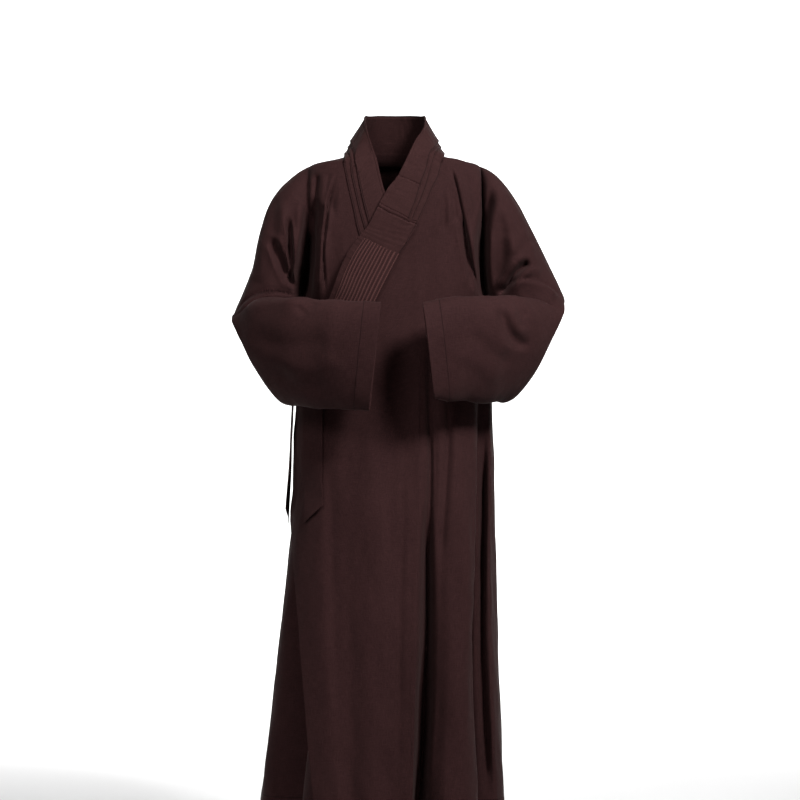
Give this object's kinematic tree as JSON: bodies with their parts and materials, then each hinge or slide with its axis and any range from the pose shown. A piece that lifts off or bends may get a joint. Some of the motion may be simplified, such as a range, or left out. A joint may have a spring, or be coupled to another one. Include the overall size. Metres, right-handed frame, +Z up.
{
  "type": "buddhist monk robe",
  "caption": "Full-length dark brown monk's robe in its worn pose: crossed stepped collar with a stitched block, wide sleeves bent forward at the elbow, side ties.",
  "frame": {"origin": "centre of the neck opening at the height where the collar meets the shoulders, where the robe is held when worn", "axes": "+Z up along the robe's length, -Y the front of the robe, +X the wearer's left"},
  "size_m": [0.6011, 0.4493, 1.2736],
  "materials": {
    "cloth": "matte",
    "collar_cloth": "matte"
  },
  "bodies": {
    "root": {"back": "cloth", "front_left": "cloth", "front_overlap": "cloth", "front_right": "cloth", "sleeve_left": "cloth", "sleeve_right": "cloth", "collar": "collar_cloth", "collar_step_1": "collar_cloth", "collar_step_2": "collar_cloth", "collar_block": "collar_cloth", "tie_front": "cloth", "tie_back": "cloth", "tie_knot": "cloth"}
  },
  "joints": []
}
